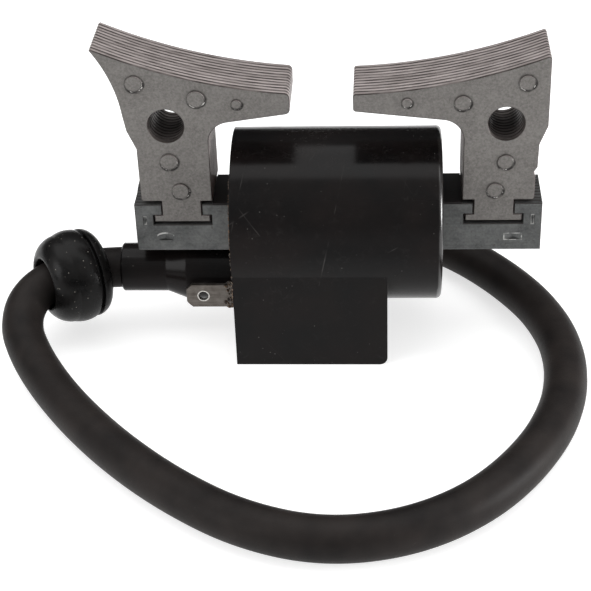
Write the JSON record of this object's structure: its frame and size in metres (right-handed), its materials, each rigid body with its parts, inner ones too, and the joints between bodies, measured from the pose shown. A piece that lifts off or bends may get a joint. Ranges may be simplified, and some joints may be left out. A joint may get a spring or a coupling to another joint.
{
  "type": "ignition coil",
  "caption": "Small-engine ignition coil: laminated pole shoes with a concave face on a core bar, round potted housing on an electronics block, spade tab and a looped high-tension lead with cap",
  "frame": {"origin": "Midway between the two mounting-hole axes, at mid-thickness of the laminated stack.", "axes": "+X runs along the core from the high-tension side to the free side, +Y runs along the mounting-hole axes away from the interlock-bump face, +Z points from the core to the flywheel."},
  "size_m": [0.108, 0.1086, 0.0598],
  "materials": {
    "lamination_steel": "matte",
    "housing_plastic": "satin",
    "potting_resin": "gloss",
    "bobbin_plastic": "matte",
    "enamelled_copper": "satin",
    "insulating_tape": "satin",
    "brass": "satin",
    "circuit_board": "satin",
    "component_epoxy": "matte",
    "tinned_metal": "satin",
    "resistor_lacquer": "gloss",
    "capacitor_film": "gloss",
    "lead_rubber": "matte",
    "grommet_rubber": "satin",
    "spring_steel": "satin"
  },
  "bodies": {
    "root": {"left_pole_laminations": "lamination_steel", "right_pole_laminations": "lamination_steel", "core_laminations": "lamination_steel", "coil_housing": "housing_plastic", "potting_resin": "potting_resin", "primary_bobbin": "bobbin_plastic", "primary_winding": "enamelled_copper", "winding_tape": "insulating_tape", "secondary_bobbin": "bobbin_plastic", "secondary_winding": "enamelled_copper", "ht_tower": "housing_plastic", "ht_contact_spike": "brass", "circuit_board": "circuit_board", "switching_transistor": "component_epoxy", "transistor_legs": "tinned_metal", "board_resistors": "resistor_lacquer", "film_capacitor": "capacitor_film", "clamp_diode": "component_epoxy", "primary_wires": "enamelled_copper", "earth_wire": "tinned_metal", "spade_terminal": "tinned_metal", "ht_lead": "lead_rubber", "lead_conductor": "enamelled_copper", "lead_grommet": "grommet_rubber", "plug_cap_boot": "grommet_rubber", "plug_cap_contact": "brass", "plug_cap_spring": "spring_steel"}
  },
  "joints": []
}
